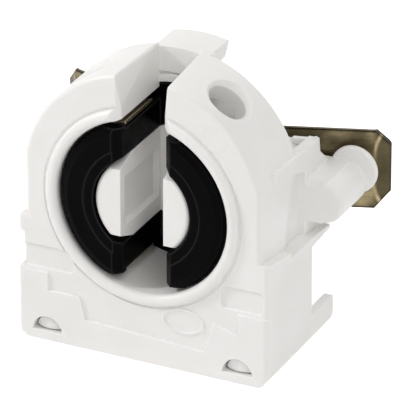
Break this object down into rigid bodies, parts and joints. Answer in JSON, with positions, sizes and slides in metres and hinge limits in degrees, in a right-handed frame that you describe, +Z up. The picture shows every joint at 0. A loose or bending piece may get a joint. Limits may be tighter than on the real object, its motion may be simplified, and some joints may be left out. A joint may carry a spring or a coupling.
{
  "type": "lamp_holder",
  "caption": "White rotary holder for a fluorescent tube with two pins: arched body with a black rotor, slotted core, entry slot, side lugs and a bronze leaf spring across the back.",
  "frame": {"origin": "Middle of the base's underside, under the lamp axis, the base's depth halved", "axes": "+X to the right as seen by someone facing the front, +Y from the front to the back, +Z up; the lamp comes from -Y and enters from above"},
  "size_m": [0.0326, 0.0185, 0.0278],
  "materials": {
    "white_plastic": "satin moulded PBT",
    "black_plastic": "satin moulded PBT",
    "bronze_strip": "dull rolled phosphor bronze",
    "spring_steel": "bright rolled strip"
  },
  "bodies": {
    "holder": {"housing": "white_plastic", "rear_cover": "white_plastic", "contact_left": "bronze_strip", "contact_right": "bronze_strip", "clamp_left": "spring_steel", "clamp_right": "spring_steel", "leaf_spring": "bronze_strip"},
    "rotor": {"rotor": "black_plastic"}
  },
  "joints": [
    {"name": "rotor_turn", "type": "hinge", "parent": "holder", "child": "rotor", "pos_m": [0, 0, 0.0153], "axis": [0, 1, 0], "range_deg": [-90, 90]}
  ]
}
